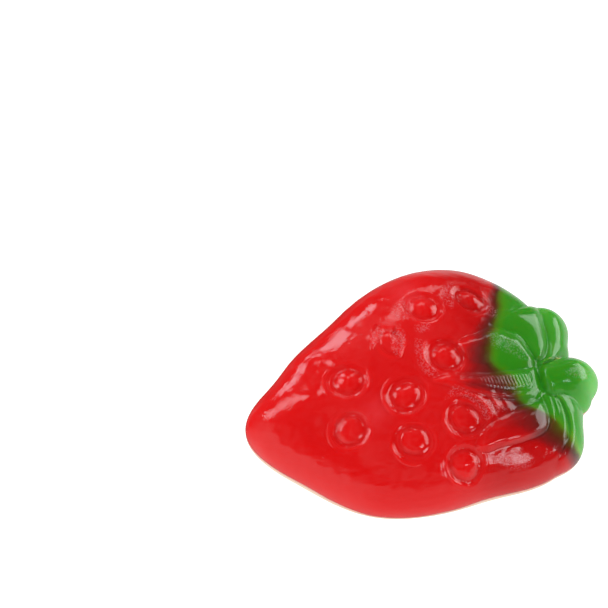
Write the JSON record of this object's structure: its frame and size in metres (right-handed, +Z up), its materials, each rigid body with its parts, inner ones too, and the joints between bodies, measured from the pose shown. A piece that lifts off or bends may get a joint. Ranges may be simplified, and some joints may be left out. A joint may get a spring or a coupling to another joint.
{
  "type": "gummy strawberry",
  "caption": "Foam-backed gummy strawberry: domed red jelly with raised seeds, a green leafy crown end with a stem knob, and a cream foam layer underneath",
  "frame": {"origin": "middle of the footprint, on the surface that the foam back rests on", "axes": "+X from the tip to the stem knob, +Y across the width, +Z up out of the domed face; metres"},
  "size_m": [0.0424, 0.0305, 0.0113],
  "materials": {
    "red_jelly": "moist glossy jelly",
    "green_jelly": "moist glossy jelly",
    "cream_foam": "smooth matt foam"
  },
  "bodies": {
    "root": {"red_jelly": "red_jelly", "green_cap": "green_jelly", "foam_back": "cream_foam"}
  },
  "joints": []
}
